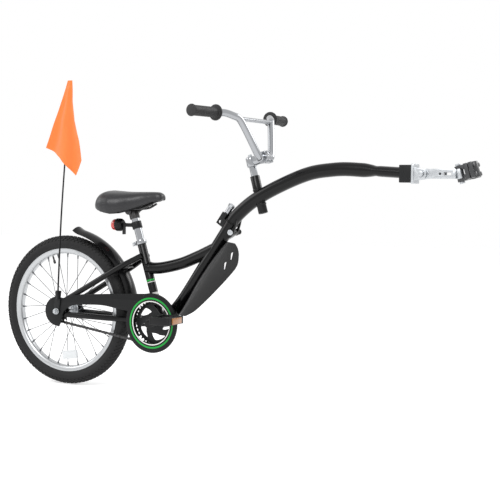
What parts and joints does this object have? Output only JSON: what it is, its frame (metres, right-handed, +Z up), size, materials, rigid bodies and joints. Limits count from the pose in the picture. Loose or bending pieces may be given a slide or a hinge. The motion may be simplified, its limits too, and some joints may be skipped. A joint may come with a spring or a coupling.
{
  "type": "trailer bike",
  "caption": "Single-wheel child's half bicycle with a curved tow arm, folding hinge and swivelling seatpost clamp, with own saddle, bars, cranks, chain drive, fender and safety flag.",
  "frame": {"origin": "centre of the seatpost clamp's bore, where the towing bicycle's seatpost passes through", "axes": "+X forward toward the towing bicycle, +Y to the rider's left, +Z up"},
  "size_m": [1.6764, 0.6038, 1.0189],
  "materials": {
    "gloss_black_paint": "gloss",
    "satin_black_paint": "satin",
    "black_plastic": "moulded",
    "guard_plastic": "moulded",
    "gloss_black_plastic": "gloss",
    "rubber_grip": "ribbed",
    "tyre_rubber": "treaded",
    "chrome_plate": "polished",
    "zinc_steel": "zinc plated",
    "dark_steel": "oiled",
    "rim_alloy": "brushed",
    "clamp_alloy": "satin",
    "saddle_vinyl": "vinyl over foam",
    "lens_red": "clear tinted",
    "reflector_clear": "faceted",
    "flag_cloth": "woven",
    "pole_fibre": "smooth rod"
  },
  "bodies": {
    "hitch_clamp": {"clamp_body": "clamp_alloy", "clamp_cap": "clamp_alloy", "swivel_pin": "zinc_steel"},
    "swivel": {"tongue": "zinc_steel", "pitch_bolt": "zinc_steel"},
    "tow_arm_body": {"yoke": "zinc_steel", "arm_collar": "satin_black_paint", "tow_arm": "gloss_black_paint", "fold_bolt": "zinc_steel", "fold_knob": "black_plastic", "latch_sleeve": "zinc_steel"},
    "latch": {"latch_bolt": "zinc_steel"},
    "quill": {"stem_bolt": "zinc_steel"},
    "stem_body": {"stem": "chrome_plate"},
    "bars": {"handlebar": "chrome_plate", "grip_left": "rubber_grip", "grip_right": "rubber_grip"},
    "frame_body": {"frame": "gloss_black_paint", "stays_near": "gloss_black_paint", "stays_far": "gloss_black_paint", "seat_stay_bridge": "gloss_black_paint", "chain_stay_bridge": "gloss_black_paint", "seat_collar": "chrome_plate", "collar_bolt": "zinc_steel", "latch_bracket": "satin_black_paint", "bb_cup_near": "zinc_steel", "bb_cup_far": "zinc_steel", "axle": "zinc_steel", "axle_nut_near": "zinc_steel", "axle_nut_far": "zinc_steel", "chain": "dark_steel", "chain_guard": "guard_plastic", "fender": "gloss_black_plastic", "splash_guard": "guard_plastic", "flag_bracket": "satin_black_paint", "flag_pole": "pole_fibre", "flag": "flag_cloth"},
    "post": {"seatpost": "chrome_plate", "seat_clamp": "dark_steel", "light_bracket": "black_plastic", "light_housing": "black_plastic", "light_lens": "lens_red"},
    "saddle_body": {"saddle": "saddle_vinyl", "saddle_shell": "black_plastic", "saddle_rails": "dark_steel", "saddle_bolt": "dark_steel"},
    "wheel": {"tyre": "tyre_rubber", "rim": "rim_alloy", "hub_and_spokes": "zinc_steel", "valve": "rubber_grip", "wheel_reflector": "reflector_clear"},
    "cog": {"freewheel": "dark_steel"},
    "crank_body": {"crank": "gloss_black_paint", "chainring": "satin_black_paint"},
    "pedal_near_body": {"pedal_near": "black_plastic"},
    "pedal_far_body": {"pedal_far": "black_plastic"}
  },
  "joints": [
    {"name": "swivel_turn", "type": "hinge", "parent": "hitch_clamp", "child": "swivel", "pos_m": [-0.03365, 0, -0.00948], "axis": [-0.2706, 0, 0.9627], "range_deg": [-45, 45]},
    {"name": "hitch_pitch", "type": "hinge", "parent": "swivel", "child": "tow_arm_body", "pos_m": [-0.14165, 0, -0.00948], "axis": [0, 1, 0], "range_deg": [-30, 30]},
    {"name": "fold", "type": "hinge", "parent": "tow_arm_body", "child": "frame_body", "pos_m": [-0.75795, 0, -0.19237], "axis": [0, -1, 0], "range_deg": [0, 130]},
    {"name": "latch_slide", "type": "slide", "parent": "tow_arm_body", "child": "latch", "axis": [0.5664, 0, 0.8241], "range_m": [0, 0.012]},
    {"name": "quill_slide", "type": "slide", "parent": "tow_arm_body", "child": "quill", "axis": [-0.2622, 0, 0.965], "range_m": [0, 0.035]},
    {"name": "steer_turn", "type": "hinge", "parent": "quill", "child": "stem_body", "pos_m": [-0.66695, 0, -0.08102], "axis": [-0.2622, 0, 0.965], "range_deg": [-45, 45]},
    {"name": "bar_tilt", "type": "hinge", "parent": "stem_body", "child": "bars", "pos_m": [-0.64877, 0, 0.03894], "axis": [0, 1, 0], "range_deg": [-25, 25]},
    {"name": "post_slide", "type": "slide", "parent": "frame_body", "child": "post", "axis": [-0.2924, 0, 0.9563], "range_m": [-0.02, 0.04]},
    {"name": "saddle_tilt", "type": "hinge", "parent": "post", "child": "saddle_body", "pos_m": [-1.1348, 0, -0.1334], "axis": [0, 1, 0], "range_deg": [-10, 10]},
    {"name": "wheel_spin", "type": "hinge", "parent": "frame_body", "child": "wheel", "pos_m": [-1.39795, 0, -0.47187], "axis": [0, 1, 0], "continuous": true},
    {"name": "crank_spin", "type": "hinge", "parent": "frame_body", "child": "crank_body", "pos_m": [-1.02295, 0, -0.48837], "axis": [0, 1, 0], "continuous": true, "deforming": ["chain"]},
    {"name": "cog_spin", "type": "hinge", "parent": "frame_body", "child": "cog", "pos_m": [-1.39795, 0, -0.47187], "axis": [0, 1, 0], "continuous": true},
    {"name": "pedal_near_spin", "type": "hinge", "parent": "crank_body", "child": "pedal_near_body", "pos_m": [-0.92357, 0, -0.46543], "axis": [0, 1, 0], "continuous": true},
    {"name": "pedal_far_spin", "type": "hinge", "parent": "crank_body", "child": "pedal_far_body", "pos_m": [-1.12234, 0, -0.51132], "axis": [0, 1, 0], "continuous": true}
  ],
  "couplings": [
    {"joint": "cog_spin", "follows": "crank_spin", "ratio": 2}
  ]
}
